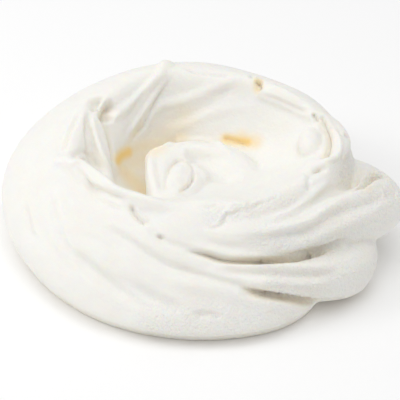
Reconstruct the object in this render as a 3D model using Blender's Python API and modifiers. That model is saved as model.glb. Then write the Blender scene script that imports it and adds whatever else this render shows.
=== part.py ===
"""A spooned meringue nest: whipped egg white and sugar, swirled by the back of a spoon and baked dry.

One solid piece. The body is a loft round the nest's axis: a hollow in the middle, a rim and a bulging
flank on a flat base. Fat folds of meringue are laid over it, the whole is fused into one skin, and the
spoon's crests, creases, tears and burst bubbles are raised on that skin or pressed into it.

Frame: metres, +Z up, origin under the middle of the nest on the face that it rests on.
"""

import math

import bmesh
import bpy
import numpy as np
from mathutils import Vector
from mathutils.bvhtree import BVHTree

MM = 0.001
VOXEL = 0.4
SOFTENINGS = 8
FACETS = 9600
CUT_Z = 0.3
TURN_OVER = 0.6
ENDS_TAPER = 0.25
BAKED_WHITE = (0.89, 0.85, 0.76, 1)
BAKED_ROUGHNESS = 0.8

# Rings of the body at each twelfth of a turn, anticlockwise from +X: how far out and how high.
FLOOR_R = (9, 9, 8, 8, 9, 11, 12.5, 12, 10, 8, 9, 9)
FLOOR_Z = (13.5, 13, 13, 12, 9.5, 8.5, 8, 8.5, 12, 15, 16, 15.5)
WALL_R = (15.5, 14.5, 12.5, 11.5, 13.5, 15.5, 16.5, 17.5, 14.5, 13, 14, 15)
WALL_Z = (16.5, 15.5, 16.5, 16, 14, 12, 11, 12, 15.5, 17.5, 17.5, 17)
LIP_R = (21, 18.5, 16.5, 15, 17, 18.5, 19.5, 21.4, 18, 16.5, 18.5, 19.5)
LIP_Z = (19.5, 20, 21, 21, 20, 18, 15.5, 15.9, 18, 19.3, 19.5, 19.5)
RIM_R = (25.4, 23, 19.6, 18.5, 21, 23.5, 27, 24.3, 20.9, 20, 22.5, 23.8)
RIM_Z = (22, 23.3, 24.2, 24.5, 25, 23, 19.6, 18, 18.7, 20, 20.5, 21.5)
SHOULDER_R = (29.3, 29, 27.8, 26, 29.6, 33.6, 34.9, 32.5, 29.5, 27.5, 28, 28.5)
SHOULDER_Z = (16.5, 17, 18.5, 21.5, 20, 18, 16, 14.5, 14, 14, 14.6, 15.8)
BULGE_R = (30.5, 31.7, 34, 35.8, 38.7, 41, 40.7, 39.2, 38.3, 37.6, 36.4, 30)
BULGE_Z = (8, 8, 8, 8, 8, 8, 8, 7, 5, 4.2, 4.5, 5)
BASE_R = (28, 30, 32.5, 34, 35, 37, 37.3, 36.4, 35.6, 35.2, 34.6, 28)
FLOOR_MIDDLE_Z = 12
FOOT_Z = 2
FOOT_OUT = 1.4
SECTION_SHARES = (0, 0.14, 0.24, 0.33, 0.44, 0.57, 0.7, 0.8, 0.84, 1)

# Fat folds laid on the body: x, y, z and half thickness at even stations.
FOLDS = {
    "upper_roll": (
        (22, 7, 9, 3), (30.4, 1, 10.4, 3.9), (33.2, -5, 11.2, 5), (33.6, -9.8, 11.9, 5.5),
        (30, -14, 13, 5.4), (22, -18.5, 14, 4.8), (13, -22, 14.8, 4), (3, -23, 15.4, 3),
        (-8, -19.5, 15, 1.5),
    ),
    "middle_roll": (
        (25, -6, 5.5, 5), (28, -14, 5.8, 5.6), (26.9, -21.2, 5.8, 5.6), (20, -25.2, 7, 4.9),
        (11, -27.5, 8.6, 4), (2, -28, 10, 3), (-9, -25.5, 11, 1.5),
    ),
    "plateau": (
        (-6, -16, 12.5, 5.5), (-4.5, -7, 9.6, 7), (-2.5, -0.5, 8.6, 7.6), (5, -1, 9, 6.8),
        (11, -5, 9.5, 6),
    ),
    "hill": ((-6, -12, 12, 5), (-5.2, -6, 11.4, 5.4), (-3.5, -2, 11, 5.2), (1, -3, 10.8, 4.8)),
    "arc": (
        (-8, -11, 13, 3.2), (-8.2, -3, 13.2, 3.3), (-7, 1.4, 13.3, 3.4), (-1, 3.2, 13.3, 3.6),
        (5, 2.4, 12.8, 3.8), (9, -2, 11.7, 3.6), (13, -7, 10, 3),
    ),
    "plateau_edge": (
        (-8.6, -13, 14.6, 1.9), (-9.5, -6, 14.5, 2), (-9.9, -1, 14.5, 1.9), (-9.8, 2.8, 14.3, 1.8),
        (-6.4, 4.6, 14.2, 1.9), (-2, 5.6, 14.2, 1.9), (3, 5.2, 13.8, 1.9),
    ),
    "front_lip": (
        (-29, -4.2, 18.2, 1.2), (-26.5, -4.9, 18.7, 1.6), (-22, -9.3, 18.2, 1.9),
        (-16.5, -14.4, 18.2, 1.9), (-10, -17.8, 18.4, 1.8), (-4, -19, 18.2, 1.5),
    ),
    "leaf": (
        (-22.6, 13.5, 20.8, 1.2), (-24.2, 9, 20, 2.4), (-25.4, 3.5, 18.9, 3), (-26, -1.2, 18.1, 2.9),
        (-26, -4.2, 17.6, 2.2),
    ),
    "finger": (
        (-22.6, 9, 20.8, 1.2), (-21.4, 5, 19, 1.7), (-20.3, 0.4, 16.8, 1.8), (-19.6, -3.6, 14.2, 1.9),
        (-19, -7.6, 13.4, 1.8),
    ),
    "peak": (
        (-6.5, 21, 19, 2.6), (-7.6, 20.6, 23.4, 2.2), (-8.6, 19, 23.9, 1.7), (-9.8, 17, 22.6, 1.8),
        (-13, 13, 18.8, 1.6), (-17, 8.5, 15, 1.4),
    ),
    "rim_roll": (
        (11.5, 15, 21.8, 1.8), (15.5, 13, 21.9, 2.1), (19.6, 9.8, 21.7, 2.1), (22.6, 6.3, 21.2, 1.7),
    ),
    "curl": (
        (22.6, 7.5, 21, 1.4), (25.9, 4.6, 20, 1.9), (26.9, -0.5, 19.5, 2.1), (24.6, -5.4, 19.6, 2),
        (20.8, -6.8, 19.2, 1.5),
    ),
    "bead": (
        (21.4, 3.6, 19.4, 1.9), (21, 0.8, 19.7, 2.6), (20.9, -1.6, 19.6, 2.5), (20.6, -3.4, 18.9, 1.6),
    ),
}

# Lines drawn on the skin: profile, rise on the far side and on the near side, reach, and points x, y, z.
STROKES = {
    "c1_slot": ("sharp", 0.5, -2.4, 1.6, (
        (-4, -26.5, 15), (0.5, -27, 14.5), (4.5, -27.5, 13.5), (10.5, -27, 13), (16.5, -25.5, 12),
        (20, -24, 11.5), (23, -22.5, 12),
    )),
    "c1_tail": ("round", -0.9, -0.9, 1.3, (
        (17.5, -25, 12), (21, -23.5, 12), (24.5, -22.5, 12.5), (28, -21, 13),
    )),
    "c1_lead": ("round", -0.45, -0.45, 1.1, (
        (-14, -18, 18.5), (-11, -21, 17.5), (-8.5, -24.5, 16), (-4, -26, 15), (0.5, -27, 14.5),
        (5.5, -27.5, 13.5),
    )),
    "A2_crest": ("round", 0.7, 0.7, 1.6, (
        (-4, -25.5, 15.5), (3, -26.5, 14.5), (8.5, -26.5, 14), (15, -25.5, 14), (20, -24, 15),
        (24.5, -22, 16), (30.5, -18.5, 16), (34.5, -16.5, 15.5),
    )),
    "A_valley": ("round", -0.7, -0.7, 1.7, (
        (5.5, -26, 16.5), (12.5, -25.5, 16.5), (19, -23.5, 17), (24.5, -20, 18), (32, -15.5, 17.5),
        (35.5, -12, 17),
    )),
    "A1_crest": ("round", 0.8, 0.8, 1.5, (
        (10, -24.5, 18), (16.5, -23.5, 18), (20, -22, 18), (23.5, -19, 18.5), (27.5, -15.5, 18.5),
        (32, -12, 18), (35.5, -5.5, 16),
    )),
    "B1_crest": ("round", 0.5, 0.5, 1.2, (
        (1.5, -28.5, 13), (5.5, -28.5, 13), (10.5, -28.5, 12.5), (20, -27.5, 11.5), (27, -26, 10),
    )),
    "B_valley": ("round", -0.7, -0.7, 1.4, (
        (2, -29.5, 12.5), (8.5, -30, 12), (19, -29, 10.5), (26, -27, 9),
    )),
    "B2_crest": ("round", 0.6, 0.6, 1.3, (
        (7.5, -31, 11), (12.5, -31, 10.5), (20, -29.5, 9), (24, -28.5, 8.5),
    )),
    "c3_slot": ("sharp", 0.5, -2.6, 2.2, (
        (6.5, -31.5, 10), (10.5, -31.5, 9), (16, -31, 7.5), (21, -29.5, 5.5), (24.5, -28.5, 4.5),
        (27, -27.5, 4),
    )),
    "c3_lead": ("round", -0.5, -0.5, 1.2, (
        (-21, -19.5, 16), (-15.5, -23, 15.5), (-10.5, -26.5, 14), (-7, -28.5, 13), (-1, -30, 11.5),
        (4.5, -31, 10.5), (8.5, -31.5, 9.5), (12.5, -31.5, 8.5),
    )),
    "c3_valley": ("round", -0.6, -0.6, 2.2, (
        (-19.5, -20.5, 15.5), (-14.5, -24.5, 15), (-8.5, -28, 13), (-4, -29.5, 12), (3.5, -31, 10.5),
    )),
    "C_crest": ("round", 0.5, 0.5, 2.6, (
        (-8.5, -30, 11.5), (-1, -31.5, 10.5), (5.5, -32, 9), (12.5, -32.5, 7), (19, -31, 4.5),
    )),
    "c4_valley": ("round", -0.75, -0.75, 2.6, (
        (-25, -22.5, 12), (-21.5, -26.5, 10.5), (-16.5, -30.5, 9.5), (-10.5, -33, 8), (-4, -35.5, 6.5),
    )),
    "c4b": ("round", -0.6, -0.6, 2, (
        (-16.5, -28.5, 11), (-10.5, -32, 9), (-7, -34, 8), (-3, -35.5, 6.5),
    )),
    "c5": ("round", -0.4, -0.4, 0.9, (
        (-35, -10, 13), (-34, -13.5, 12), (-33.5, -16.5, 11), (-32, -18.5, 10.5),
    )),
    "lip_crest": ("round", 0.7, 0.7, 1.2, (
        (-27, -4, 20), (-25.5, -6.5, 20), (-23.5, -6.5, 20), (-19.5, -11, 20), (-16.5, -15, 20),
        (-10.5, -18, 20), (-7, -19, 20),
    )),
    "lip_crease": ("round", -0.9, -0.9, 1.2, (
        (-24.5, -7.5, 20), (-23.5, -9.5, 19.5), (-21.5, -12, 18.5), (-17.5, -15.5, 19),
        (-14, -17.5, 19),
    )),
    "lip_line": ("round", -0.4, -0.4, 0.8, (
        (-23.5, -10, 19), (-21.5, -13, 18), (-18.5, -16, 17.5), (-14.5, -19, 17.5),
    )),
    "lip_groove_in": ("round", -0.5, -0.5, 0.8, ((-24, -4, 19), (-22.5, -3.5, 17.5), (-20, -10, 19.5))),
    "leaf_edge": ("round", -0.8, -0.8, 1, (
        (-27, -3, 20), (-27.5, -1.5, 20.5), (-27, 0.5, 21), (-26, 4, 22), (-24.5, 8.5, 22),
    )),
    "leaf_valley": ("round", -1, -1, 1.1, (
        (-23, 8.5, 22), (-23, 4, 21), (-23, 1, 19.5), (-22, -2, 17), (-19, -5, 15.5),
    )),
    "finger": ("round", 0.9, 0.9, 0.9, (
        (-22.5, 7.5, 21.5), (-21.5, 3.5, 20), (-20, -1, 18), (-18, -4, 15),
    )),
    "finger_right": ("sharp", -1.4, -1.4, 1.2, (
        (-20, 8.5, 21), (-19.5, 6, 18.5), (-18.5, 3.5, 16), (-18, 1, 13.5),
    )),
    "notch": ("round", -2, -2, 2.2, ((-22, 12, 23), (-21.5, 10, 22.5), (-21, 9, 21.5))),
    "notch_wedge": ("round", -3, -3, 2.1, (
        (-17.5, 11, 21.5), (-19, 9.5, 21.5), (-19.5, 8.5, 20.5), (-19.5, 7.5, 19.5),
    )),
    "corner": ("round", 0.4, 0.4, 1.2, ((-19, 8, 19.5), (-17, 10.5, 20.5), (-14.5, 13.5, 21.5))),
    "k_ridge_1": ("round", 0.7, 0.7, 1.3, (
        (-17.5, 8.5, 19), (-14.5, 12.5, 21), (-11, 15.5, 23.5), (-8, 18, 25),
    )),
    "k1": ("round", -0.4, -0.4, 1.2, (
        (-8, 17, 24), (-11.5, 13, 21), (-14, 10.5, 18.5), (-16.5, 6.5, 15.5),
    )),
    "k2": ("sharp", -0.8, -0.8, 1, (
        (-6, 18, 24.5), (-9, 15, 21), (-11, 13, 18.5), (-12.5, 11, 16), (-15, 7.5, 14),
    )),
    "k_ridge_3": ("round", 0.45, 0.45, 1.8, (
        (-13, 9.5, 14), (-11.5, 12, 17), (-9, 14, 19), (-3.5, 15, 20), (3.5, 16, 23), (7.5, 17, 24),
    )),
    "back_crease": ("sharp", 0.4, -0.8, 0.9, (
        (-4, 20, 25), (-2, 18, 24.5), (1, 17.5, 24), (4, 17.5, 24), (7.5, 19, 24),
    )),
    "roll_top": ("round", 0.5, 0.5, 1.2, ((12.5, 15, 23.5), (16, 12.5, 24), (20, 8.5, 23.5))),
    "roll_low": ("round", -0.45, -0.45, 0.9, (
        (11, 13.5, 22.5), (15, 11, 22.5), (18.5, 8, 22.5), (21, 6.5, 23),
    )),
    "hole": ("hole", -1.6, -1.6, 0.75, ((11.2, 15.6, 23.8), (11.2, 14.4, 23.2))),
    "knob_groove": ("round", -1.8, -1.8, 1.1, (
        (22.5, 5, 22), (24, 2.5, 22), (24.5, -1, 22), (24, -5.5, 21.5), (22, -7, 21.5),
    )),
    "curl_pit": ("hole", -1, -1, 0.5, ((23.6, 5.2, 22.4), (24.8, 2.2, 22.2))),
    "curl_ridge": ("round", 0.7, 0.7, 0.9, (
        (25.5, 3, 22), (26.5, -2, 21.5), (25.5, -6, 21), (22.5, -8.5, 21.5),
    )),
    "curl_notch": ("round", -0.9, -0.9, 2.2, (
        (19, -12.5, 21.5), (20.5, -11.5, 21.5), (22, -10, 21.5), (23, -9, 21.5),
    )),
    "curl_notch_low": ("round", -0.5, -0.5, 0.9, (
        (19.5, -12.5, 21.5), (20, -14.5, 21), (19.5, -15.5, 20),
    )),
    "curl_crest": ("round", -0.8, -0.8, 1, ((20.5, -10.5, 21.5), (22, -10, 21.5), (24, -9.5, 20.5))),
    "rim_rib_1": ("round", 0.6, 0.6, 1.3, (
        (10.5, -22.5, 18.5), (15, -21, 18.5), (19, -17.5, 19), (22, -14, 19.5), (24.5, -10.5, 19.5),
    )),
    "roll_end": ("round", -0.6, -0.6, 2.6, ((34.5, -12, 17.5), (36.5, -11.5, 16.5), (37.5, -11, 15))),
    "crevice": ("slit", -3.5, -3.5, 2.4, ((30, -12.5, 18), (32, -7.5, 16.5), (34, -5.5, 16))),
    "tear": ("sharp", 0.55, -0.25, 0.9, (
        (0.5, -23.5, 18), (2, -23.5, 18), (3, -23, 18.5), (4, -21.5, 19.5), (5, -21.5, 19.5),
        (6.5, -21, 20), (9, -21, 20),
    )),
    "tear_d": ("sharp", 0.4, -0.15, 1.1, (
        (8.5, -21, 20), (9.5, -20, 20.5), (10.5, -19.5, 20.5), (12.5, -18.5, 20.5), (13.5, -17.5, 21),
    )),
    "tear_f": ("round", 0.6, 0.6, 1.1, (
        (4, -20.5, 20), (6, -20, 20.5), (7.5, -20, 20.5), (8.5, -20, 20.5),
    )),
    "slit_pit": ("sharp", -1.3, -1.3, 0.9, (
        (-14.2, -18, 18.6), (-13.4, -19.2, 17.8), (-12.2, -20.8, 17.4), (-10.6, -22.2, 17),
    )),
    "bottom_rough": ("round", -0.5, -0.5, 1.2, ((-2, -35.5, 6.5), (1, -35.5, 6.5), (3.5, -36, 6))),
    "slit": ("sharp", -1.1, 0.25, 1.3, ((3.6, 9.2, 14.4), (6.2, 8.2, 14.2), (9.6, 6.6, 14))),
    "arc": ("round", 0.5, 0.5, 1.4, (
        (-10.5, 2.5, 16), (-7.5, 4.5, 16), (-4.5, 10.5, 12.5), (0, 9.5, 13.5), (4, 3, 16.5),
        (7, -0.5, 16),
    )),
    "arc_groove": ("round", -1.2, -1.2, 2.4, (
        (-4, 1, 16.5), (-2, 1, 16.5), (0.5, 0, 16), (2, -2, 15.5), (4.5, -4, 15), (6.5, -9, 16.5),
    )),
    "left_face": ("round", 0.5, 0.5, 1.4, ((-10.5, 1.5, 16), (-10.5, -5.5, 16.5), (-9, -12, 16.5))),
    "back_swirl_low": ("round", -0.5, -0.5, 2.6, (
        (34, 2, 8), (31, 15, 9), (22, 27, 10), (8, 34.5, 11.5), (-6, 36, 13), (-15, 34, 14),
    )),
    "back_ridge": ("round", 0.4, 0.4, 2.4, (
        (30, 12, 12), (20, 26, 13.5), (6, 32.5, 15), (-9, 34, 16), (-19, 30, 17),
    )),
    "back_swirl_high": ("round", -0.4, -0.4, 2.2, (
        (26, 15, 16), (17, 24, 17), (4, 28.5, 18), (-10, 29.5, 19.5), (-18, 26, 20),
    )),
}

def wrapped(values, turn):
    """A value for each azimuth in turns, by a cubic through the stations, which closes on itself."""
    values = np.asarray(values, float)
    place = (turn % 1.0) * len(values)
    before = np.floor(place).astype(int)
    t = place - before
    p = [values[(before + k) % len(values)] for k in (-1, 0, 1, 2)]
    return 0.5 * (
        2 * p[1] + (p[2] - p[0]) * t
        + (2 * p[0] - 5 * p[1] + 4 * p[2] - p[3]) * t**2
        + (3 * p[1] - p[0] - 3 * p[2] + p[3]) * t**3
    )


def along(stations, steps):
    """Points at even steps on a cubic through the stations."""
    values = np.asarray(stations, float)
    padded = np.concatenate([[2 * values[0] - values[1]], values, [2 * values[-1] - values[-2]]])
    place = np.linspace(0, len(values) - 1, steps)
    before = np.minimum(place.astype(int), len(values) - 2)
    t = (place - before)[:, None]
    p = [padded[before + k] for k in range(4)]
    return 0.5 * (
        2 * p[1] + (p[2] - p[0]) * t
        + (2 * p[0] - 5 * p[1] + 4 * p[2] - p[3]) * t**2
        + (3 * p[1] - p[0] - 3 * p[2] + p[3]) * t**3
    )


def section(turn, share):
    """Radius and height on the body, share 0 in the middle of the hollow and 1 in the middle of the base."""
    zero = np.zeros_like(turn)
    base = wrapped(BASE_R, turn)
    radii = [zero] + [wrapped(v, turn) for v in (FLOOR_R, WALL_R, LIP_R, RIM_R, SHOULDER_R, BULGE_R)]
    radii += [base + FOOT_OUT, base, zero]
    heights = [zero + FLOOR_MIDDLE_Z]
    heights += [wrapped(v, turn) for v in (FLOOR_Z, WALL_Z, LIP_Z, RIM_Z, SHOULDER_Z, BULGE_Z)]
    heights += [zero + FOOT_Z, zero, zero]
    knots = np.array(SECTION_SHARES)
    before = np.clip(np.searchsorted(knots, share, side="right") - 1, 0, len(knots) - 2)
    pick = np.arange(len(share))
    step = knots[before + 1] - knots[before]
    t = (share - knots[before]) / step
    made = []
    for row, flat_ends in ((np.array(radii), (False, True)), (np.array(heights), (True, True))):
        slopes = np.gradient(row, knots, axis=0)
        if flat_ends[0]:
            slopes[0] = 0
        slopes[-2:] = 0 if flat_ends[0] else slopes[-2:]
        a, b = row[before, pick], row[before + 1, pick]
        ma, mb = slopes[before, pick] * step, slopes[before + 1, pick] * step
        made.append(
            (2 * t**3 - 3 * t**2 + 1) * a + (t**3 - 2 * t**2 + t) * ma
            + (3 * t**2 - 2 * t**3) * b + (t**3 - t**2) * mb
        )
    return made


def body():
    bpy.ops.mesh.primitive_uv_sphere_add(segments=180, ring_count=110, radius=1)
    made = bpy.context.object
    co = np.array([v.co for v in made.data.vertices], float)
    turn = np.arctan2(co[:, 1], co[:, 0]) / (2 * math.pi)
    share = np.arccos(np.clip(co[:, 2], -1, 1)) / math.pi
    radius, height = section(turn, share)
    radius = np.maximum(radius, 0)
    co = np.stack([radius * np.cos(turn * 2 * math.pi), radius * np.sin(turn * 2 * math.pi), height], 1)
    made.data.vertices.foreach_set("co", (co * MM).astype(np.float32).ravel())
    made.data.update()
    return made


def fold(name, stations, steps=48):
    """A fat roll of meringue through its stations."""
    line = bpy.data.curves.new(name, "CURVE")
    line.dimensions = "3D"
    line.bevel_depth = MM
    line.bevel_resolution = 4
    line.use_fill_caps = True
    spline = line.splines.new("POLY")
    spline.points.add(steps - 1)
    for point, (x, y, z, w) in zip(spline.points, along(stations, steps)):
        point.co = (x * MM, y * MM, z * MM, 1)
        point.radius = max(w, 0.05)
    made = bpy.data.objects.new(name, line)
    bpy.context.scene.collection.objects.link(made)
    mesh = bpy.data.meshes.new_from_object(made.evaluated_get(bpy.context.evaluated_depsgraph_get()))
    solid = bpy.data.objects.new(name, mesh)
    bpy.context.scene.collection.objects.link(solid)
    bpy.data.objects.remove(made)
    return solid


def apply_all(made):
    mesh = bpy.data.meshes.new_from_object(made.evaluated_get(bpy.context.evaluated_depsgraph_get()))
    made.modifiers.clear()
    made.data = mesh


def profile(kind, gap, reach, share):
    """How much of its height a line has at a gap from it, and whether it fades out at its ends."""
    if kind == "slit":
        reach = reach * (0.35 + 0.65 * share)
    inside = np.clip(1 - gap / reach, 0, 1)
    ends = np.clip(np.minimum(share, 1 - share) / ENDS_TAPER, 0, 1) ** 0.8
    ends = ends * ends * (3 - 2 * ends)
    if kind == "round":
        return (0.5 - 0.5 * np.cos(math.pi * inside)) * ends
    if kind == "sharp":
        return inside**2 * ends
    inside = np.clip(inside / 0.4, 0, 1)
    return inside * inside * (3 - 2 * inside)


def drawn_on(made, strokes):
    """Raises or presses the skin along lines, by one height on each side of a line."""
    mesh = made.data
    co = np.empty(len(mesh.vertices) * 3, np.float32)
    mesh.vertices.foreach_get("co", co)
    co = co.reshape(-1, 3).astype(float) / MM
    normals = np.empty(len(mesh.vertices) * 3, np.float32)
    mesh.vertex_normals.foreach_get("vector", normals)
    normals = normals.reshape(-1, 3).astype(float)
    tree = BVHTree.FromPolygons([Vector(c) for c in co], [tuple(p.vertices) for p in mesh.polygons])
    lift = np.zeros(len(co))
    for kind, far, near_side, reach, stations in strokes:
        hits = [tree.find_nearest(Vector(p)) for p in along(stations, 10 * len(stations))]
        line = np.array([hit[0] for hit in hits])
        facing = np.array([hit[1] for hit in hits])
        close = np.where(((co > line.min(0) - reach) & (co < line.max(0) + reach)).all(1))[0]
        start, leg = line[:-1], np.diff(line, axis=0)
        rel = co[close, None] - start[None]
        t = np.clip((rel * leg).sum(2) / np.maximum((leg**2).sum(1), 1e-9), 0, 1)
        gaps = rel - t[..., None] * leg
        gap = np.linalg.norm(gaps, axis=2)
        nearest = gap.argmin(1)
        pick = np.arange(len(close))
        outward = np.cross(facing[nearest], leg[nearest])
        outward /= np.maximum(np.linalg.norm(outward, axis=1), 1e-9)[:, None]
        beyond = np.clip(0.5 + (outward * gaps[pick, nearest]).sum(1) / TURN_OVER, 0, 1)
        share = (nearest + t[pick, nearest]) / len(leg)
        same_side = (facing[nearest] * normals[close]).sum(1) > 0
        rise = near_side + (far - near_side) * beyond
        lift[close] += rise * profile(kind, gap[pick, nearest], reach, share) * same_side
    co += normals * lift[:, None]
    mesh.vertices.foreach_set("co", (co * MM).astype(np.float32).ravel())
    mesh.update()


def fused(pieces):
    """One skin around all the pieces."""
    bpy.ops.object.select_all(action="DESELECT")
    for piece in pieces:
        piece.select_set(True)
    bpy.context.view_layer.objects.active = pieces[0]
    bpy.ops.object.join()
    made = pieces[0]
    fuse = made.modifiers.new("fuse", "REMESH")
    fuse.mode = "VOXEL"
    fuse.voxel_size = VOXEL * MM
    soften = made.modifiers.new("soften", "SMOOTH")
    soften.iterations = SOFTENINGS
    apply_all(made)
    return made


def keep_outer_skin(shape):
    """Leaves the largest connected skin and drops those of any hollows sealed inside it."""
    skins = []
    left = set(shape.verts)
    while left:
        skin = {left.pop()}
        front = list(skin)
        while front:
            vert = front.pop()
            for edge in vert.link_edges:
                other = edge.other_vert(vert)
                if other in left:
                    left.discard(other)
                    skin.add(other)
                    front.append(other)
        skins.append(skin)
    skins.sort(key=len)
    for skin in skins[:-1]:
        bmesh.ops.delete(shape, geom=list(skin), context="VERTS")


def rest(made):
    """Cuts the underside flat and stands the nest on it, with the origin under its middle."""
    shape = bmesh.new()
    shape.from_mesh(made.data)
    keep_outer_skin(shape)
    cut = bmesh.ops.bisect_plane(
        shape, geom=shape.verts[:] + shape.edges[:] + shape.faces[:],
        plane_co=(0, 0, CUT_Z * MM), plane_no=(0, 0, -1), clear_outer=True,
    )
    edges = [e for e in cut["geom_cut"] if isinstance(e, bmesh.types.BMEdge)]
    bmesh.ops.contextual_create(shape, geom=edges)
    bmesh.ops.recalc_face_normals(shape, faces=shape.faces[:])
    corners = np.array([v.co for v in shape.verts])
    low, high = corners.min(0), corners.max(0)
    middle = (low + high) / 2
    bmesh.ops.translate(shape, verts=shape.verts[:], vec=(-middle[0], -middle[1], -low[2]))
    shape.to_mesh(made.data)
    shape.free()


def lighter(made):
    """Fewer facets, most of them left where the skin turns most."""
    thin = made.modifiers.new("thin", "DECIMATE")
    made.data.calc_loop_triangles()
    thin.ratio = FACETS / len(made.data.loop_triangles)
    thin.use_collapse_triangulate = True
    apply_all(made)


def baked():
    made = bpy.data.materials.new("baked_meringue")
    made.use_nodes = True
    shader = made.node_tree.nodes["Principled BSDF"]
    shader.inputs["Base Color"].default_value = BAKED_WHITE
    shader.inputs["Roughness"].default_value = BAKED_ROUGHNESS
    return made


def nest():
    made = fused([body()] + [fold(name, stations) for name, stations in FOLDS.items()])
    made.name = "meringue"
    drawn_on(made, STROKES.values())
    rest(made)
    lighter(made)
    made.data.name = "meringue"
    made.data.materials.clear()
    made.data.materials.append(baked())
    made.data.shade_smooth()
    return made


def main():
    for thing in list(bpy.data.objects):
        bpy.data.objects.remove(thing)
    made = nest()
    holder = bpy.data.collections.new("meringue_cookie")
    bpy.context.scene.collection.children.link(holder)
    for owner in list(made.users_collection):
        owner.objects.unlink(made)
    holder.objects.link(made)


main()
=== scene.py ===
import math

import bpy
import bmesh
import numpy as np
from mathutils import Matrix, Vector
from mathutils.bvhtree import BVHTree


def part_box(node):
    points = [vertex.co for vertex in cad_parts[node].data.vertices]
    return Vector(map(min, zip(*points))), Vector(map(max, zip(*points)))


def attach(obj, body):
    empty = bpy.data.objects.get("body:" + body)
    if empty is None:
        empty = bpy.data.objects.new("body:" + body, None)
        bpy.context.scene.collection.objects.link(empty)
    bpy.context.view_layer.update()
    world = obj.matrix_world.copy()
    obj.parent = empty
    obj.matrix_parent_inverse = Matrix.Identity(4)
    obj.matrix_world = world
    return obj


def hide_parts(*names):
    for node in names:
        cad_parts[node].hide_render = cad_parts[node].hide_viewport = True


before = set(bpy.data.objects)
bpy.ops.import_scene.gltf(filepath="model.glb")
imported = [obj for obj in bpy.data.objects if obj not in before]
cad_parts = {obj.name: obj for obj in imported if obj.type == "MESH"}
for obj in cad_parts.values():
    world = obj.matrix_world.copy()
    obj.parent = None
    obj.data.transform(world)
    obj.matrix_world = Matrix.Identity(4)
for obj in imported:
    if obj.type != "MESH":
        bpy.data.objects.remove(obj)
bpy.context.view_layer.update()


# ---------------------------------------------------------------- the baked meringue nest
# One spoonful of whipped egg white and sugar, swirled by the back of a spoon and baked dry and white.
# The body is a mound with a hollow in the middle. Fat folds lie over it, and the spoon has left
# crests, creases, tears and burst bubbles in the skin.

MM = 0.001

# The mound at each twelfth of a turn, anticlockwise from its right: how far out and how high each ring runs.
hollow = (
    (9, 9, 8, 8, 9, 11, 12.5, 12, 10, 8, 9, 9),
    (13.5, 13, 13, 12, 9.5, 8.5, 8, 8.5, 12, 15, 16, 15.5),
)
wall = (
    (15.5, 14.5, 12.5, 11.5, 13.5, 15.5, 16.5, 17.5, 14.5, 13, 14, 15),
    (16.5, 15.5, 16.5, 16, 14, 12, 11, 12, 15.5, 17.5, 17.5, 17),
)
lip = (
    (21, 18.5, 16.5, 15, 17, 18.5, 19.5, 21.4, 18, 16.5, 18.5, 19.5),
    (19.5, 20, 21, 21, 20, 18, 15.5, 15.9, 18, 19.3, 19.5, 19.5),
)
rim = (
    (25.4, 23, 19.6, 18.5, 21, 23.5, 27, 24.3, 20.9, 20, 22.5, 23.8),
    (22, 23.3, 24.2, 24.5, 25, 23, 19.6, 18, 18.7, 20, 20.5, 21.5),
)
shoulder = (
    (29.3, 29, 27.8, 26, 29.6, 33.6, 34.9, 32.5, 29.5, 27.5, 28, 28.5),
    (16.5, 17, 18.5, 21.5, 20, 18, 16, 14.5, 14, 14, 14.6, 15.8),
)
bulge = (
    (30.5, 31.7, 34, 35.8, 38.7, 41, 40.7, 39.2, 38.3, 37.6, 36.4, 30),
    (8, 8, 8, 8, 8, 8, 8, 7, 5, 4.2, 4.5, 5),
)
base = (28, 30, 32.5, 34, 35, 37, 37.3, 36.4, 35.6, 35.2, 34.6, 28)
hollow_floor = 12
foot_height, foot_out = 2, 1.4
mound_rings = (
    ((0,) * 12, (hollow_floor,) * 12), hollow, wall, lip, rim, shoulder, bulge,
    (tuple(r + foot_out for r in base), (foot_height,) * 12), (base, (0,) * 12), ((0,) * 12, (0,) * 12),
)
ring_shares = (0, 0.14, 0.24, 0.33, 0.44, 0.57, 0.7, 0.8, 0.84, 1)


def wrapped(values, turn):
    """A value for each place round the nest, in turns, by a cubic that closes on itself."""
    values = np.asarray(values, float)
    place = (turn % 1.0) * len(values)
    before = np.floor(place).astype(int)
    t = place - before
    p = [values[(before + k) % len(values)] for k in (-1, 0, 1, 2)]
    return 0.5 * (
        2 * p[1] + (p[2] - p[0]) * t
        + (2 * p[0] - 5 * p[1] + 4 * p[2] - p[3]) * t**2
        + (3 * p[1] - p[0] - 3 * p[2] + p[3]) * t**3
    )


def mound_section(turn, share):
    """How far out and how high the mound's skin is, share 0 in the hollow and 1 under the base."""
    rings = np.array([[wrapped(v, turn) for v in pair] for pair in mound_rings])
    knots = np.array(ring_shares)
    before = np.clip(np.searchsorted(knots, share, side="right") - 1, 0, len(knots) - 2)
    pick = np.arange(len(share))
    step = knots[before + 1] - knots[before]
    t = (share - knots[before]) / step
    made = []
    for axis in (0, 1):
        row = rings[:, axis]
        slopes = np.gradient(row, knots, axis=0)
        if axis:
            slopes[0] = 0
            slopes[-2:] = 0
        a, b = row[before, pick], row[before + 1, pick]
        ma, mb = slopes[before, pick] * step, slopes[before + 1, pick] * step
        made.append(
            (2 * t**3 - 3 * t**2 + 1) * a + (t**3 - 2 * t**2 + t) * ma
            + (3 * t**2 - 2 * t**3) * b + (t**3 - t**2) * mb
        )
    return made


bpy.ops.object.select_all(action="DESELECT")
bpy.ops.mesh.primitive_uv_sphere_add(segments=180, ring_count=110, radius=1)
mound = bpy.context.object
place = np.array([v.co for v in mound.data.vertices], float)
turn = np.arctan2(place[:, 1], place[:, 0]) / math.tau
share = np.arccos(np.clip(place[:, 2], -1, 1)) / math.pi
out, up = mound_section(turn, share)
out = np.maximum(out, 0)
place = np.stack([out * np.cos(turn * math.tau), out * np.sin(turn * math.tau), up], 1)
mound.data.vertices.foreach_set("co", (place * MM).astype(np.float32).ravel())
mound.data.update()


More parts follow.
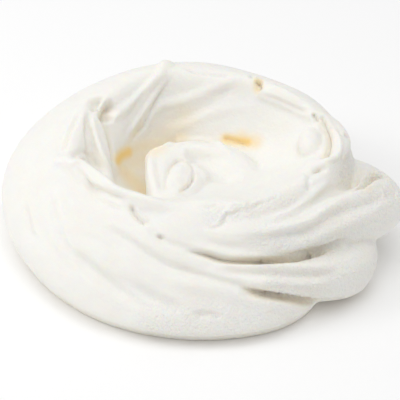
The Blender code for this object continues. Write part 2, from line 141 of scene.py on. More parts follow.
def along(stations, steps):
    """Points at even steps on a cubic through the stations."""
    values = np.asarray(stations, float)
    padded = np.concatenate([[2 * values[0] - values[1]], values, [2 * values[-1] - values[-2]]])
    place = np.linspace(0, len(values) - 1, steps)
    before = np.minimum(place.astype(int), len(values) - 2)
    t = (place - before)[:, None]
    p = [padded[before + k] for k in range(4)]
    return 0.5 * (
        2 * p[1] + (p[2] - p[0]) * t
        + (2 * p[0] - 5 * p[1] + 4 * p[2] - p[3]) * t**2
        + (3 * p[1] - p[0] - 3 * p[2] + p[3]) * t**3
    )


def fat_fold(name, *stations):
    """A roll of meringue laid through its stations: x, y, z and half thickness."""
    line = bpy.data.curves.new(name, "CURVE")
    line.dimensions = "3D"
    line.bevel_depth = MM
    line.bevel_resolution = 4
    line.use_fill_caps = True
    steps = 48
    spline = line.splines.new("POLY")
    spline.points.add(steps - 1)
    for point, (x, y, z, w) in zip(spline.points, along(stations, steps)):
        point.co = (x * MM, y * MM, z * MM, 1)
        point.radius = w
    laid = bpy.data.objects.new(name, line)
    bpy.context.scene.collection.objects.link(laid)
    bpy.context.view_layer.objects.active = laid
    laid.select_set(True)
    bpy.ops.object.convert(target="MESH")
    laid = bpy.context.object
    laid.select_set(False)
    return laid


folds = [
    fat_fold(
        "upper_roll",
        (22, 7, 9, 3), (30.4, 1, 10.4, 3.9), (33.2, -5, 11.2, 5), (33.6, -9.8, 11.9, 5.5),
        (30, -14, 13, 5.4), (22, -18.5, 14, 4.8), (13, -22, 14.8, 4), (3, -23, 15.4, 3),
        (-8, -19.5, 15, 1.5),
    ),
    fat_fold(
        "middle_roll",
        (25, -6, 5.5, 5), (28, -14, 5.8, 5.6), (26.9, -21.2, 5.8, 5.6), (20, -25.2, 7, 4.9),
        (11, -27.5, 8.6, 4), (2, -28, 10, 3), (-9, -25.5, 11, 1.5),
    ),
    fat_fold(
        "plateau",
        (-6, -16, 12.5, 5.5), (-4.5, -7, 9.6, 7), (-2.5, -0.5, 8.6, 7.6), (5, -1, 9, 6.8),
        (11, -5, 9.5, 6),
    ),
    fat_fold("hill", (-6, -12, 12, 5), (-5.2, -6, 11.4, 5.4), (-3.5, -2, 11, 5.2), (1, -3, 10.8, 4.8)),
    fat_fold(
        "arc",
        (-8, -11, 13, 3.2), (-8.2, -3, 13.2, 3.3), (-7, 1.4, 13.3, 3.4), (-1, 3.2, 13.3, 3.6),
        (5, 2.4, 12.8, 3.8), (9, -2, 11.7, 3.6), (13, -7, 10, 3),
    ),
    fat_fold(
        "plateau_edge",
        (-8.6, -13, 14.6, 1.9), (-9.5, -6, 14.5, 2), (-9.9, -1, 14.5, 1.9), (-9.8, 2.8, 14.3, 1.8),
        (-6.4, 4.6, 14.2, 1.9), (-2, 5.6, 14.2, 1.9), (3, 5.2, 13.8, 1.9),
    ),
    fat_fold(
        "front_lip",
        (-29, -4.2, 18.2, 1.2), (-26.5, -4.9, 18.7, 1.6), (-22, -9.3, 18.2, 1.9),
        (-16.5, -14.4, 18.2, 1.9), (-10, -17.8, 18.4, 1.8), (-4, -19, 18.2, 1.5),
    ),
    fat_fold(
        "leaf",
        (-22.6, 13.5, 20.8, 1.2), (-24.2, 9, 20, 2.4), (-25.4, 3.5, 18.9, 3), (-26, -1.2, 18.1, 2.9),
        (-26, -4.2, 17.6, 2.2),
    ),
    fat_fold(
        "finger",
        (-22.6, 9, 20.8, 1.2), (-21.4, 5, 19, 1.7), (-20.3, 0.4, 16.8, 1.8), (-19.6, -3.6, 14.2, 1.9),
        (-19, -7.6, 13.4, 1.8),
    ),
    fat_fold(
        "peak",
        (-6.5, 21, 19, 2.6), (-7.6, 20.6, 23.4, 2.2), (-8.6, 19, 23.9, 1.7), (-9.8, 17, 22.6, 1.8),
        (-13, 13, 18.8, 1.6), (-17, 8.5, 15, 1.4),
    ),
    fat_fold(
        "rim_roll",
        (11.5, 15, 21.8, 1.8), (15.5, 13, 21.9, 2.1), (19.6, 9.8, 21.7, 2.1), (22.6, 6.3, 21.2, 1.7),
    ),
    fat_fold(
        "curl",
        (22.6, 7.5, 21, 1.4), (25.9, 4.6, 20, 1.9), (26.9, -0.5, 19.5, 2.1), (24.6, -5.4, 19.6, 2),
        (20.8, -6.8, 19.2, 1.5),
    ),
    fat_fold(
        "bead",
        (21.4, 3.6, 19.4, 1.9), (21, 0.8, 19.7, 2.6), (20.9, -1.6, 19.6, 2.5), (20.6, -3.4, 18.9, 1.6),
    ),
]

bpy.ops.object.select_all(action="DESELECT")
for fold in folds:
    fold.select_set(True)
mound.select_set(True)
bpy.context.view_layer.objects.active = mound
bpy.ops.object.join()
meringue = mound
meringue.name = "meringue_nest"
meringue.data.name = "meringue_nest"

fuse = meringue.modifiers.new("fuse", "REMESH")
fuse.mode = "VOXEL"
fuse.voxel_size = 0.4 * MM
soften = meringue.modifiers.new("soften", "SMOOTH")
soften.iterations = 8
bpy.ops.object.modifier_apply(modifier="fuse")
bpy.ops.object.modifier_apply(modifier="soften")


def skin_of(piece):
    """Places and outward directions of a piece's vertices, in millimetres."""
    count = len(piece.data.vertices)
    places, ways = np.empty(count * 3, np.float32), np.empty(count * 3, np.float32)
    piece.data.vertices.foreach_get("co", places)
    piece.data.vertex_normals.foreach_get("vector", ways)
    return places.reshape(-1, 3).astype(float) / MM, ways.reshape(-1, 3).astype(float)


places, ways = skin_of(meringue)
shape = bmesh.new()
shape.from_mesh(meringue.data)
bmesh.ops.scale(shape, vec=(1 / MM,) * 3, verts=shape.verts[:])
skin = BVHTree.FromBMesh(shape)
shape.free()
lift = np.zeros(len(places))


def spoon_line(kind, far, near_side, reach, *stations):
    """Lifts or presses the skin along a line, with its own height on each side."""
    hits = [skin.find_nearest(Vector(p)) for p in along(stations, 10 * len(stations))]
    line = np.array([hit[0] for hit in hits])
    facing = np.array([hit[1] for hit in hits])
    close = np.where(((places > line.min(0) - reach) & (places < line.max(0) + reach)).all(1))[0]
    start, leg = line[:-1], np.diff(line, axis=0)
    rel = places[close, None] - start[None]
    t = np.clip((rel * leg).sum(2) / np.maximum((leg**2).sum(1), 1e-9), 0, 1)
    gaps = rel - t[..., None] * leg
    gap = np.linalg.norm(gaps, axis=2)
    nearest = gap.argmin(1)
    pick = np.arange(len(close))
    share = (nearest + t[pick, nearest]) / len(leg)
    ends = np.clip(np.minimum(share, 1 - share) / 0.25, 0, 1) ** 0.8
    ends = ends * ends * (3 - 2 * ends)
    inside = np.clip(1 - gap[pick, nearest] / reach, 0, 1)
    if kind == "slit":
        inside = np.clip(1 - gap[pick, nearest] / reach / (0.35 + 0.65 * share), 0, 1)
    if kind == "round":
        inside = 0.5 - 0.5 * np.cos(math.pi * inside)
    elif kind == "sharp":
        inside = inside**2
    else:
        inside = np.clip(inside / 0.4, 0, 1)
        inside = inside**2 * (3 - 2 * inside)
        ends = 1
    across = np.cross(facing[nearest], leg[nearest])
    across /= np.maximum(np.linalg.norm(across, axis=1), 1e-9)[:, None]
    beyond = np.clip(0.5 + (across * gaps[pick, nearest]).sum(1) / 0.6, 0, 1)
    same_side = (facing[nearest] * ways[close]).sum(1) > 0
    lift[close] += (near_side + (far - near_side) * beyond) * inside * ends * same_side


spoon_line("round", 0.5, -2.4, 1.6,
    (-4, -26.5, 15), (0.5, -27, 14.5), (4.5, -27.5, 13.5), (10.5, -27, 13), (16.5, -25.5, 12),
    (20, -24, 11.5), (23, -22.5, 12))
spoon_line("round", -0.9, -0.9, 1.3, (17.5, -25, 12), (21, -23.5, 12), (24.5, -22.5, 12.5), (28, -21, 13))
spoon_line("round", -0.45, -0.45, 1.1,
    (-14, -18, 18.5), (-11, -21, 17.5), (-8.5, -24.5, 16), (-4, -26, 15), (0.5, -27, 14.5),
    (5.5, -27.5, 13.5))
spoon_line("round", 0.7, 0.7, 1.6,
    (-4, -25.5, 15.5), (3, -26.5, 14.5), (8.5, -26.5, 14), (15, -25.5, 14), (20, -24, 15),
    (24.5, -22, 16), (30.5, -18.5, 16), (34.5, -16.5, 15.5))
spoon_line("round", -0.7, -0.7, 1.7,
    (5.5, -26, 16.5), (12.5, -25.5, 16.5), (19, -23.5, 17), (24.5, -20, 18), (32, -15.5, 17.5),
    (35.5, -12, 17))
spoon_line("round", 0.8, 0.8, 1.5,
    (10, -24.5, 18), (16.5, -23.5, 18), (20, -22, 18), (23.5, -19, 18.5), (27.5, -15.5, 18.5),
    (32, -12, 18), (35.5, -5.5, 16))
spoon_line("round", 0.5, 0.5, 1.2,
    (1.5, -28.5, 13), (5.5, -28.5, 13), (10.5, -28.5, 12.5), (20, -27.5, 11.5), (27, -26, 10))
spoon_line("round", -0.7, -0.7, 1.4, (2, -29.5, 12.5), (8.5, -30, 12), (19, -29, 10.5), (26, -27, 9))
spoon_line("round", 0.6, 0.6, 1.3, (7.5, -31, 11), (12.5, -31, 10.5), (20, -29.5, 9), (24, -28.5, 8.5))
spoon_line("round", 0.5, -2.6, 2.2,
    (6.5, -31.5, 10), (10.5, -31.5, 9), (16, -31, 7.5), (21, -29.5, 5.5), (24.5, -28.5, 4.5),
    (27, -27.5, 4))
spoon_line("round", -0.5, -0.5, 1.2,
    (-21, -19.5, 16), (-15.5, -23, 15.5), (-10.5, -26.5, 14), (-7, -28.5, 13), (-1, -30, 11.5),
    (4.5, -31, 10.5), (8.5, -31.5, 9.5), (12.5, -31.5, 8.5))
spoon_line("round", -0.6, -0.6, 2.2,
    (-19.5, -20.5, 15.5), (-14.5, -24.5, 15), (-8.5, -28, 13), (-4, -29.5, 12), (3.5, -31, 10.5))
spoon_line("round", 0.5, 0.5, 2.6,
    (-8.5, -30, 11.5), (-1, -31.5, 10.5), (5.5, -32, 9), (12.5, -32.5, 7), (19, -31, 4.5))
spoon_line("round", -0.35, -0.35, 1.3,
    (-28.5, -16, 14.5), (-27.5, -19.5, 13), (-25.5, -22.5, 11.5), (-22, -26, 11), (-16.5, -30.5, 9),
    (-10.5, -34.5, 7), (-7, -36.5, 5.5))
spoon_line("round", -0.75, -0.75, 2.6,
    (-25, -22.5, 12), (-21.5, -26.5, 10.5), (-16.5, -30.5, 9.5), (-10.5, -33, 8), (-4, -35.5, 6.5))
spoon_line("round", -0.6, -0.6, 2, (-16.5, -28.5, 11), (-10.5, -32, 9), (-7, -34, 8), (-3, -35.5, 6.5))
spoon_line("round", -0.4, -0.4, 0.9,
    (-35, -10, 13), (-34, -13.5, 12), (-33.5, -16.5, 11), (-32, -18.5, 10.5))
spoon_line("round", -0.25, -0.25, 1.5, (-29, -12.5, 16), (-28.5, -15, 15), (-28, -17.5, 14))
spoon_line("round", -0.25, -0.25, 1.8,
    (-27, -12, 17), (-26, -16.5, 15.5), (-23.5, -20.5, 14.5), (-18.5, -24, 14), (-12.5, -27, 13.5))
spoon_line("round", 0.25, 0.25, 1.8,
    (-28, -8.5, 17.5), (-27.5, -14, 16), (-25, -19, 15), (-19.5, -22.5, 14.5))
spoon_line("round", -0.2, -0.2, 1.8, (-33, -6, 16), (-32, -14.5, 13), (-29, -21.5, 11), (-23, -28, 8.5))
spoon_line("round", 0.7, 0.7, 1.2,
    (-27, -4, 20), (-25.5, -6.5, 20), (-23.5, -6.5, 20), (-19.5, -11, 20), (-16.5, -15, 20),
    (-10.5, -18, 20), (-7, -19, 20))
spoon_line("round", -0.9, -0.9, 1.2,
    (-24.5, -7.5, 20), (-23.5, -9.5, 19.5), (-21.5, -12, 18.5), (-17.5, -15.5, 19), (-14, -17.5, 19))
spoon_line("round", -0.4, -0.4, 0.8,
    (-23.5, -10, 19), (-21.5, -13, 18), (-18.5, -16, 17.5), (-14.5, -19, 17.5))
spoon_line("round", -0.5, -0.5, 0.8, (-24, -4, 19), (-22.5, -3.5, 17.5), (-20, -10, 19.5))
spoon_line("round", -0.35, -0.35, 0.8, (-26, -4.5, 20), (-24, -3, 19.5), (-22.5, 0, 18))
spoon_line("round", -0.8, -0.8, 1,
    (-27, -3, 20), (-27.5, -1.5, 20.5), (-27, 0.5, 21), (-26, 4, 22), (-24.5, 8.5, 22))
spoon_line("round", -0.3, -0.3, 0.9, (-27, -3.5, 20), (-25, -3.5, 20), (-23.5, -1, 19.5))
spoon_line("round", -1, -1, 1.1,
    (-23, 8.5, 22), (-23, 4, 21), (-23, 1, 19.5), (-22, -2, 17), (-19, -5, 15.5))
spoon_line("round", 0.9, 0.9, 0.9, (-22.5, 7.5, 21.5), (-21.5, 3.5, 20), (-20, -1, 18), (-18, -4, 15))
spoon_line("sharp", -1.4, -1.4, 1.2, (-20, 8.5, 21), (-19.5, 6, 18.5), (-18.5, 3.5, 16), (-18, 1, 13.5))
spoon_line("round", -2, -2, 2.2, (-22, 12, 23), (-21.5, 10, 22.5), (-21, 9, 21.5))
spoon_line("round", -3, -3, 2.1,
    (-17.5, 11, 21.5), (-19, 9.5, 21.5), (-19.5, 8.5, 20.5), (-19.5, 7.5, 19.5))
spoon_line("round", 0.4, 0.4, 1.2, (-19, 8, 19.5), (-17, 10.5, 20.5), (-14.5, 13.5, 21.5))
spoon_line("round", 0.7, 0.7, 1.3, (-17.5, 8.5, 19), (-14.5, 12.5, 21), (-11, 15.5, 23.5), (-8, 18, 25))
spoon_line("round", -0.4, -0.4, 1.2, (-8, 17, 24), (-11.5, 13, 21), (-14, 10.5, 18.5), (-16.5, 6.5, 15.5))
spoon_line("round", 0.25, 0.25, 0.9, (-7, 17.5, 24), (-10, 14, 21.5), (-12.5, 11.5, 19), (-15, 8.5, 16))
spoon_line("sharp", -0.6, -0.6, 1,
    (-6, 18, 24.5), (-9, 15, 21), (-11, 13, 18.5), (-12.5, 11, 16), (-15, 7.5, 14))
spoon_line("round", 0.45, 0.45, 1.8,
    (-13, 9.5, 14), (-11.5, 12, 17), (-9, 14, 19), (-3.5, 15, 20), (3.5, 16, 23), (7.5, 17, 24))
spoon_line("round", -0.25, -0.25, 1.8,
    (-9.5, 12, 16), (-4.5, 13, 17), (0, 13.5, 19), (4, 15, 21), (7, 15.5, 22.5))
spoon_line("round", 0.2, 0.2, 1.8, (-7.5, 11.5, 14), (-1, 12.5, 17), (5, 13, 19), (11, 12.5, 20))
spoon_line("round", -0.4, -0.4, 0.7,
    (-4.5, 20, 25), (-2, 18.5, 24.5), (1, 18, 24), (4, 17.5, 24), (7.5, 18, 24))
spoon_line("round", 0.5, 0.5, 1.2, (12.5, 15, 23.5), (16, 12.5, 24), (20, 8.5, 23.5))
spoon_line("round", -0.45, -0.45, 0.9, (11, 13.5, 22.5), (15, 11, 22.5), (18.5, 8, 22.5), (21, 6.5, 23))
spoon_line("hole", -1.6, -1.6, 0.75, (11.2, 15.6, 23.8), (11.2, 14.4, 23.2))
spoon_line("hole", -0.6, -0.6, 0.35, (9.6, 17.4, 24.2), (9.8, 17.2, 24.2))
spoon_line("hole", -0.5, -0.5, 0.3, (11, 17, 24), (11.2, 16.8, 24))
spoon_line("round", -1.8, -1.8, 1.1,
    (22.5, 5, 22), (24, 2.5, 22), (24.5, -1, 22), (24, -5.5, 21.5), (22, -7, 21.5))
spoon_line("hole", -1, -1, 0.5, (23.6, 5.2, 22.4), (24.8, 2.2, 22.2))
spoon_line("round", 0.7, 0.7, 0.9, (25.5, 3, 22), (26.5, -2, 21.5), (25.5, -6, 21), (22.5, -8.5, 21.5))
spoon_line("round", -0.9, -0.9, 2.2,
    (19, -12.5, 21.5), (20.5, -11.5, 21.5), (22, -10, 21.5), (23, -9, 21.5))
spoon_line("round", -0.5, -0.5, 0.9, (19.5, -12.5, 21.5), (20, -14.5, 21), (19.5, -15.5, 20))
spoon_line("round", -0.8, -0.8, 1, (20.5, -10.5, 21.5), (22, -10, 21.5), (24, -9.5, 20.5))
spoon_line("round", 0.6, 0.6, 1.3,
    (10.5, -22.5, 18.5), (15, -21, 18.5), (19, -17.5, 19), (22, -14, 19.5), (24.5, -10.5, 19.5))
spoon_line("round", -0.25, -0.25, 1.3,
    (8.5, -23.5, 18.5), (14, -22.5, 18.5), (18.5, -20, 18.5), (22.5, -15, 18.5), (28, -7.5, 16))
spoon_line("round", -0.6, -0.6, 2.6, (34.5, -12, 17.5), (36.5, -11.5, 16.5), (37.5, -11, 15))
spoon_line("slit", -3.5, -3.5, 2.4, (30, -12.5, 18), (32, -7.5, 16.5), (34, -5.5, 16))
spoon_line("round", 0.55, -0.25, 0.9,
    (0.5, -23.5, 18), (2, -23.5, 18), (3, -23, 18.5), (4, -21.5, 19.5), (5, -21.5, 19.5), (6.5, -21, 20),
    (9, -21, 20))
spoon_line("round", 0.4, -0.15, 1.1,
    (8.5, -21, 20), (9.5, -20, 20.5), (10.5, -19.5, 20.5), (12.5, -18.5, 20.5), (13.5, -17.5, 21))
spoon_line("round", -0.3, -0.3, 0.7, (9.5, -20.5, 20), (10.5, -19.5, 20.5), (11, -20, 20))
spoon_line("round", 0.6, 0.6, 1.1, (4, -20.5, 20), (6, -20, 20.5), (7.5, -20, 20.5), (8.5, -20, 20.5))
spoon_line("hole", -0.9, -0.9, 0.4, (21.8, 6, 22.6), (22.4, 5, 22))
spoon_line("hole", -0.7, -0.7, 0.35, (28, 1, 21.5), (28, 0.5, 21))
spoon_line("sharp", -1.3, -1.3, 0.9,
    (-14.2, -18, 18.6), (-13.4, -19.2, 17.8), (-12.2, -20.8, 17.4), (-10.6, -22.2, 17))
spoon_line("round", 0.5, 0.5, 0.6, (-13, -18.4, 18.6), (-11.8, -20, 17.8), (-10.8, -21.4, 17.4))
spoon_line("hole", -0.8, -0.8, 0.45, (-8.4, -24.2, 16.2), (-8, -24.4, 16))
spoon_line("round", -0.5, -0.5, 1.2, (-2, -35.5, 6.5), (1, -35.5, 6.5), (3.5, -36, 6))
spoon_line("round", 0.5, -0.2, 0.7, (-1, -19.5, 20), (0.5, -20, 20), (1.5, -20, 20), (2.5, -19.5, 20.5))
spoon_line("round", -0.3, -0.3, 1.2, (0.5, -23.5, 17.5), (3, -23.5, 18), (4.5, -22.5, 19))
spoon_line("round", -0.9, 0.25, 1.3, (3.6, 9.2, 14.4), (6.2, 8.2, 14.2), (9.6, 6.6, 14))
spoon_line("round", 0.5, 0.5, 1.4,
    (-10.5, 2.5, 16), (-7.5, 4.5, 16), (-4.5, 10.5, 12.5), (0, 9.5, 13.5), (4, 3, 16.5), (7, -0.5, 16))
spoon_line("round", -1.4, -1.4, 3.2,
    (-4, 1, 16.5), (-2, 1, 16.5), (0.5, 0, 16), (2.5, -2.5, 15.5), (4.5, -4.5, 15), (6, -9, 16.5))
spoon_line("sharp", -0.5, -0.5, 0.55,
    (-7.8, -13.4, 17), (-7.6, -10.2, 16.4), (-7.4, -6.4, 16.4), (-6.6, -2.8, 16.2), (-5.2, -0.4, 15.8),
    (-3.8, -0.4, 16), (-2.6, -1.4, 16), (-2, -3.6, 15.8), (-2.2, -6.6, 16), (-3.2, -9.2, 16.4),
    (-4.4, -11.2, 17), (-5.4, -13.4, 17.6))
spoon_line("sharp", -0.5, -0.5, 0.6,
    (-2, -4.2, 15.8), (-2.2, -6.4, 16), (-3, -8.8, 16.4), (-4.6, -12.2, 17.2))
spoon_line("round", 0.5, 0.5, 1.4, (-10.5, 1.5, 16), (-10.5, -5.5, 16.5), (-9, -12, 16.5))
spoon_line("round", -0.5, -0.5, 2.6,
    (34, 2, 8), (31, 15, 9), (22, 27, 10), (8, 34.5, 11.5), (-6, 36, 13), (-15, 34, 14))
spoon_line("round", 0.4, 0.4, 2.4, (30, 12, 12), (20, 26, 13.5), (6, 32.5, 15), (-9, 34, 16), (-19, 30, 17))
spoon_line("round", -0.4, -0.4, 2.2,
    (26, 15, 16), (17, 24, 17), (4, 28.5, 18), (-10, 29.5, 19.5), (-18, 26, 20))

places += ways * lift[:, None]
meringue.data.vertices.foreach_set("co", (places * MM).astype(np.float32).ravel())
meringue.data.update()

# The skin isn't quite even: it heaves a little, as whipped egg white does when it dries.
heave = bpy.data.textures.new("heave", "CLOUDS")
heave.noise_scale = 4 * MM
heave.noise_depth = 2
uneven = meringue.modifiers.new("uneven", "DISPLACE")
uneven.texture = heave
uneven.texture_coords = "LOCAL"
uneven.strength = 0.22 * MM
uneven.mid_level = 0.5
bpy.ops.object.modifier_apply(modifier="uneven")

# The underside is cut flat, as it baked on a flat tray, and the nest stands on it, middle over the origin.
shape = bmesh.new()
shape.from_mesh(meringue.data)
skins = []
left = set(shape.verts)
while left:
    skin_part = {left.pop()}
    front = list(skin_part)
    while front:
        vert = front.pop()
        for edge in vert.link_edges:
            other = edge.other_vert(vert)
            if other in left:
                left.discard(other)
                skin_part.add(other)
                front.append(other)
    skins.append(skin_part)
skins.sort(key=len)
for sealed_in in skins[:-1]:
    bmesh.ops.delete(shape, geom=list(sealed_in), context="VERTS")
cut = bmesh.ops.bisect_plane(
    shape, geom=shape.verts[:] + shape.edges[:] + shape.faces[:],
    plane_co=(0, 0, 0.3 * MM), plane_no=(0, 0, -1), clear_outer=True,
)
rim = [e for e in cut["geom_cut"] if isinstance(e, bmesh.types.BMEdge)]
bmesh.ops.contextual_create(shape, geom=rim)
bmesh.ops.recalc_face_normals(shape, faces=shape.faces[:])
corners = np.array([v.co for v in shape.verts])
low, high = corners.min(0), corners.max(0)
moved = np.array([(low[0] + high[0]) / 2, (low[1] + high[1]) / 2, low[2]]) / MM
cad_low, cad_high = (np.array(corner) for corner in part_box("meringue"))
half, tall = (high - low)[:2] / 2, (high - low)[2]
fit = min(1.0, *(cad_high[:2] / half), *(-cad_low[:2] / half), cad_high[2] / tall)
bmesh.ops.translate(
    shape, verts=shape.verts[:], vec=(-(low[0] + high[0]) / 2, -(low[1] + high[1]) / 2, -low[2])
)
bmesh.ops.scale(shape, vec=(fit, fit, fit), verts=shape.verts[:])
shape.to_mesh(meringue.data)
shape.free()
meringue.data.shade_smooth()

# Painted shade: the crust is tinted darker and warmer the more the folds and the tray shut a place in. This
# stands in for the shade and warm bounce light in the hollows and by the foot, with a little of the
# creamier, less dried crust there as well. The value below says how shut in each place is.
places, ways = skin_of(meringue)
shape = bmesh.new()
shape.from_mesh(meringue.data)
bmesh.ops.scale(shape, vec=(1 / MM,) * 3, verts=shape.verts[:])
skin = BVHTree.FromBMesh(shape)
shape.free()
ray_count = 40
spread = np.arange(ray_count) + 0.5
rise = 1 - 2 * spread / ray_count
round_about = math.pi * (1 + 5**0.5) * spread
level = np.sqrt(1 - rise**2)
rays = np.stack([level * np.cos(round_about), level * np.sin(round_about), rise], 1)
reach_out = 14.0
clear_of_skin = 0.12
grazing = 0.15
painted_hollow_shade = np.zeros(len(places))
for i, (place, way) in enumerate(zip(places, ways)):
    facing = rays @ way
    start = Vector(place + way * clear_of_skin)
    total = 0.0
    met = 0.0
    for k in np.nonzero(facing > grazing)[0]:
        total += facing[k]
        hit = skin.ray_cast(start, Vector(rays[k]), reach_out)
        far = reach_out if hit[0] is None else hit[3]
        if rays[k, 2] < 0:
            far = min(far, -place[2] / rays[k, 2])
        met += facing[k] * (1 - far / reach_out)
    painted_hollow_shade[i] = met / max(total, 1e-6)

ends = np.array([e.vertices[:] for e in meringue.data.edges])
meets = np.bincount(ends.ravel(), minlength=len(places))


def evened(values, times):
    """Values over the skin, each averaged with its neighbours a number of times."""
    values = np.array(values, float)
    for _ in range(times):
        total = np.zeros_like(values)
        np.add.at(total, ends[:, 0], values[ends[:, 1]])
        np.add.at(total, ends[:, 1], values[ends[:, 0]])
        values = 0.5 * values + 0.5 * total / np.maximum(meets, 1)
    return values


painted_hollow_shade = evened(painted_hollow_shade, 3)


def near_line(reach, *stations):
    """One on a line through the stations, falling softly to none at its reach from it."""
    line = along(stations, 12 * len(stations)) - moved
    away = np.min([np.linalg.norm(places - point, axis=1) for point in line], axis=0)
    inside = np.clip(1 - away / reach, 0, 1)
    return inside * inside * (3 - 2 * inside)


# Honey-coloured places: the pocket's corner and crease, the slit and the bubble, and faintly the knob's
# groove, the folds' slots and the loop. This is partly sugar that has wept and browned, and partly painted
# warm glow and shade where light bounces about and shines through the meringue in these hollows.
browning_and_painted_glow = np.zeros(len(places))
for strength, reach, *stations in (
    (1.0, 2.2, (-17, 3, 13.5), (-16.5, 4.5, 13.5), (-15, 6.5, 13)),
    (0.32, 2.8, (-15.5, 6, 13), (-13, 8.5, 12.5), (-10, 10, 12.5), (-7, 11, 12.5), (-4.5, 11, 13)),
    (0.42, 4.2, (-16, 2.5, 11), (-14, 2, 9), (-12, 0.5, 8)),
    (0.28, 4.2, (-15, 5, 11.5), (-12.5, 7.5, 11), (-9.5, 3, 16)),
    (0.2, 1.8, (-13, 11, 16.5), (-14.5, 8, 14.5), (-16, 5.5, 13.5)),
    (0.2, 5, (-8.5, 11, 13.5), (-4, 13, 16.5)),
    (1.0, 1.9, (4.5, 9, 14.5), (6.5, 8.5, 14.5), (9, 8, 14.5)),
    (0.5, 2.8, (7.5, 8.5, 15), (9, 8, 14.5), (10.5, 7.5, 14.5)),
    (0.8, 1.6, (11, 16, 24), (11, 14.5, 23)),
    (0.2, 1.6, (23.5, 4, 22), (24.5, -1, 22), (23.5, -6, 21.5)),
    (0.4, 2.4, (30.5, -12.5, 18), (32.5, -7, 16.5)),
    (0.1, 2.4, (5.5, -28, 13.5), (12.5, -27, 12.5), (19, -25, 12)),
    (0.12, 2.4, (8.5, -32, 9), (14, -31.5, 7.5), (21, -29.5, 5)),
    (0.25, 1.8, (-20.5, 9.5, 22), (-19.5, 9, 20.5)),
    (
        0.3, 0.6,
        (-7.5, -10, 16.5), (-7.5, -6.5, 16.5), (-6.5, -3, 16), (-5, -0.5, 16), (-3.5, -0.5, 16),
        (-2.5, -1.5, 16), (-2, -3.5, 16), (-2, -6.5, 16), (-3.5, -9, 16.5), (-4.5, -12, 17),
    ),
):
    browning_and_painted_glow = np.maximum(browning_and_painted_glow, strength * near_line(reach, *stations))
browning_and_painted_glow = evened(browning_and_painted_glow, 2)

# The skin is gritty where the spoon dragged it dry: on the ends of the long folds, the curl and the foot.
grit = np.zeros(len(places))
for strength, reach, *stations in (
    (1.0, 9, (14, -25, 14), (26, -20, 15), (34, -11, 15), (35, -2, 12)),
    (0.9, 8, (14, -30, 9), (24, -28, 8), (32, -20, 6)),
    (0.9, 6, (30, 8, 16), (31, 1, 17), (27, -8, 18)),
    (1.0, 8, (-8, -36, 3), (4, -35, 3), (16, -33, 2)),
    (0.5, 4, (2, -22, 19), (10, -20, 20), (16, -17, 20)),
):
    grit = np.maximum(grit, strength * near_line(reach, *stations))
grit = evened(grit, 6)


def lay_on_skin(name, values):
    layer = meringue.data.attributes.new(name, "FLOAT", "POINT")
    layer.data.foreach_set("value", values.astype(np.float32))


lay_on_skin("painted_hollow_shade", painted_hollow_shade)
lay_on_skin("browning_and_painted_glow", browning_and_painted_glow)
lay_on_skin("grit", grit)

crust = bpy.data.materials.new("baked_crust")
crust.use_nodes = True
nodes, links = crust.node_tree.nodes, crust.node_tree.links
shader = nodes["Principled BSDF"]


def node(kind, **settings):
    made = nodes.new(kind)
    for name, value in settings.items():
        setattr(made, name, value)
    return made


def skin_layer(name):
    return node("ShaderNodeAttribute", attribute_name=name).outputs["Fac"]


def ramp(source, *stops):
    """Colours or greys by a value: stops are (place, colour)."""
    made = node("ShaderNodeValToRGB")
    band = made.color_ramp
    while len(band.elements) < len(stops):
        band.elements.new(1)
    for element, (at, colour) in zip(band.elements, stops):
        element.position = at
        element.color = (*colour, 1) if isinstance(colour, tuple) else (colour, colour, colour, 1)
    links.new(source, made.inputs["Fac"])
    return made.outputs["Color"]


def mixed(kind, amount, under, over):
    made = node("ShaderNodeMix", data_type="RGBA", blend_type=kind)
    for socket, value in zip((made.inputs[0], made.inputs[6], made.inputs[7]), (amount, under, over)):
        if hasattr(value, "default_value"):
            links.new(value, socket)
        else:
            socket.default_value = value
    return made.outputs[2]


def maths(operation, *values):
    made = node("ShaderNodeMath", operation=operation)
    for socket, value in zip(made.inputs, values):
        if hasattr(value, "default_value"):
            links.new(value, socket)
        else:
            socket.default_value = value
    return made.outputs[0]


def grains(size, detail=2.0, rough=0.6):
    made = node("ShaderNodeTexNoise")
    made.inputs["Scale"].default_value = 1 / size
    made.inputs["Detail"].default_value = detail
    made.inputs["Roughness"].default_value = rough
    links.new(on_nest, made.inputs["Vector"])
    return made.outputs["Fac"]


on_nest = node("ShaderNodeTexCoord").outputs["Object"]
# Painted shade: the crust colour runs from white to a darker, warmer cream the more shut in a place is, for
# the shade and bounce light in the hollows and under the foot.
white = ramp(
    skin_layer("painted_hollow_shade"),
    (0.0, (0.90, 0.892, 0.857)),
    (0.30, (0.90, 0.885, 0.835)),
    (0.55, (0.90, 0.865, 0.79)),
    (0.8, (0.88, 0.82, 0.72)),
)
# Painted warm glow and shade, together with real browned sugar: the honey tint laid over the hollows listed
# above.
browned_and_glow_tinted = mixed("MIX", skin_layer("browning_and_painted_glow"), white, (0.94, 0.68, 0.26, 1))
blotch = grains(6 * MM, 3)
faint_blotch = ramp(blotch, (0.3, (0.985, 0.975, 0.955)), (0.7, (1.0, 1.0, 1.0)))
speckled = mixed("MULTIPLY", 1.0, browned_and_glow_tinted, faint_blotch)
links.new(speckled, shader.inputs["Base Color"])

dragged = maths("ADD", skin_layer("grit"), maths("MULTIPLY", grains(1.5 * MM), 0.4))
roughness = ramp(dragged, (0.0, 0.5), (1.0, 0.85))
links.new(roughness, shader.inputs["Roughness"])
shader.inputs["Specular IOR Level"].default_value = 0.3
shader.inputs["Subsurface Weight"].default_value = 0.45
shader.inputs["Subsurface Radius"].default_value = (1.0, 0.72, 0.42)
shader.inputs["Subsurface Scale"].default_value = 1.8 * MM

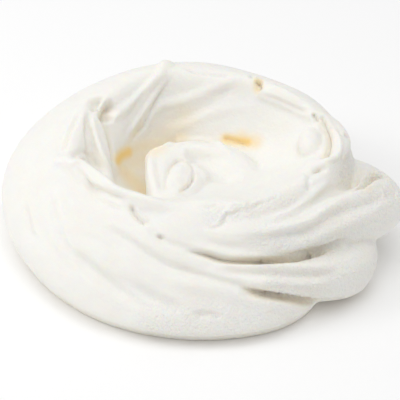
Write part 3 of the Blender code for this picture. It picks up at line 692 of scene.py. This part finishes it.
sugar = node("ShaderNodeTexVoronoi", feature="F1")
sugar.inputs["Scale"].default_value = 1 / (0.6 * MM)
links.new(on_nest, sugar.inputs["Vector"])
sugar_height = maths("MULTIPLY", sugar.outputs["Distance"], -0.8)
grain_height = maths("ADD", grains(0.35 * MM, 3), sugar_height)
grain_amount = maths("ADD", maths("MULTIPLY", skin_layer("grit"), 0.85), 0.15)
fine = node("ShaderNodeBump")
fine.inputs["Distance"].default_value = 0.3 * MM
links.new(maths("MULTIPLY", grain_height, grain_amount), fine.inputs["Height"])
soft_bump = node("ShaderNodeBump")
soft_bump.inputs["Distance"].default_value = 0.25 * MM
soft_bump.inputs["Strength"].default_value = 0.5
links.new(grains(2.2 * MM, 2), soft_bump.inputs["Height"])
links.new(soft_bump.outputs["Normal"], fine.inputs["Normal"])
links.new(fine.outputs["Normal"], shader.inputs["Normal"])

meringue.data.materials.clear()
meringue.data.materials.append(crust)
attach(meringue, "root")
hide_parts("meringue")


# ---------------------------------------------------------------- the table top
# A plain white sheet, flat and dull, that the nest stands on. It isn't part of the nest.

bpy.ops.mesh.primitive_plane_add(size=6)
table = bpy.context.object
table.name = "table"
sheet = bpy.data.materials.new("white_sheet")
sheet.use_nodes = True
sheet.node_tree.nodes["Principled BSDF"].inputs["Base Color"].default_value = (0.97, 0.97, 0.97, 1)
sheet.node_tree.nodes["Principled BSDF"].inputs["Roughness"].default_value = 1.0
sheet.node_tree.nodes["Principled BSDF"].inputs["Specular IOR Level"].default_value = 0.0
table.data.materials.append(sheet)


# ---------------------------------------------------------------- the lights
# A white tent all round the nest, and one large soft window above it on its left.

scene = bpy.context.scene
tent = bpy.data.worlds.new("tent")
scene.world = tent
tent.use_nodes = True
tent.node_tree.nodes["Background"].inputs["Color"].default_value = (1, 1, 1, 1)
tent.node_tree.nodes["Background"].inputs["Strength"].default_value = 0.605


def window(name, place, size, power):
    pane = bpy.data.lights.new(name, "AREA")
    pane.energy = power
    pane.size = size
    hung = bpy.data.objects.new(name, pane)
    scene.collection.objects.link(hung)
    hung.location = place
    hung.rotation_mode = "QUATERNION"
    hung.rotation_quaternion = Vector(place).to_track_quat("Z", "Y")


window("left_window", (-0.42, -0.02, 0.32), 0.22, 0.58)
window("top_window", (0, -0.05, 0.6), 0.5, 1.25)


# ---------------------------------------------------------------- the camera
# A long lens looks down on the nest from the side of its long folds.

target = Vector((0, 0, 6 * MM))
elevation = math.radians(38)
distance = 0.35
frame_width = 0.0805
back = Vector((0, -math.cos(elevation), math.sin(elevation)))
lens = bpy.data.cameras.new("camera")
lens.sensor_width = 36
lens.lens = 36 * distance / frame_width
lens.clip_start = 0.01
camera = bpy.data.objects.new("camera", lens)
scene.collection.objects.link(camera)
camera.location = target + back * distance
camera.rotation_mode = "QUATERNION"
camera.rotation_quaternion = back.to_track_quat("Z", "Y")
scene.camera = camera
scene.view_settings.view_transform = "Standard"
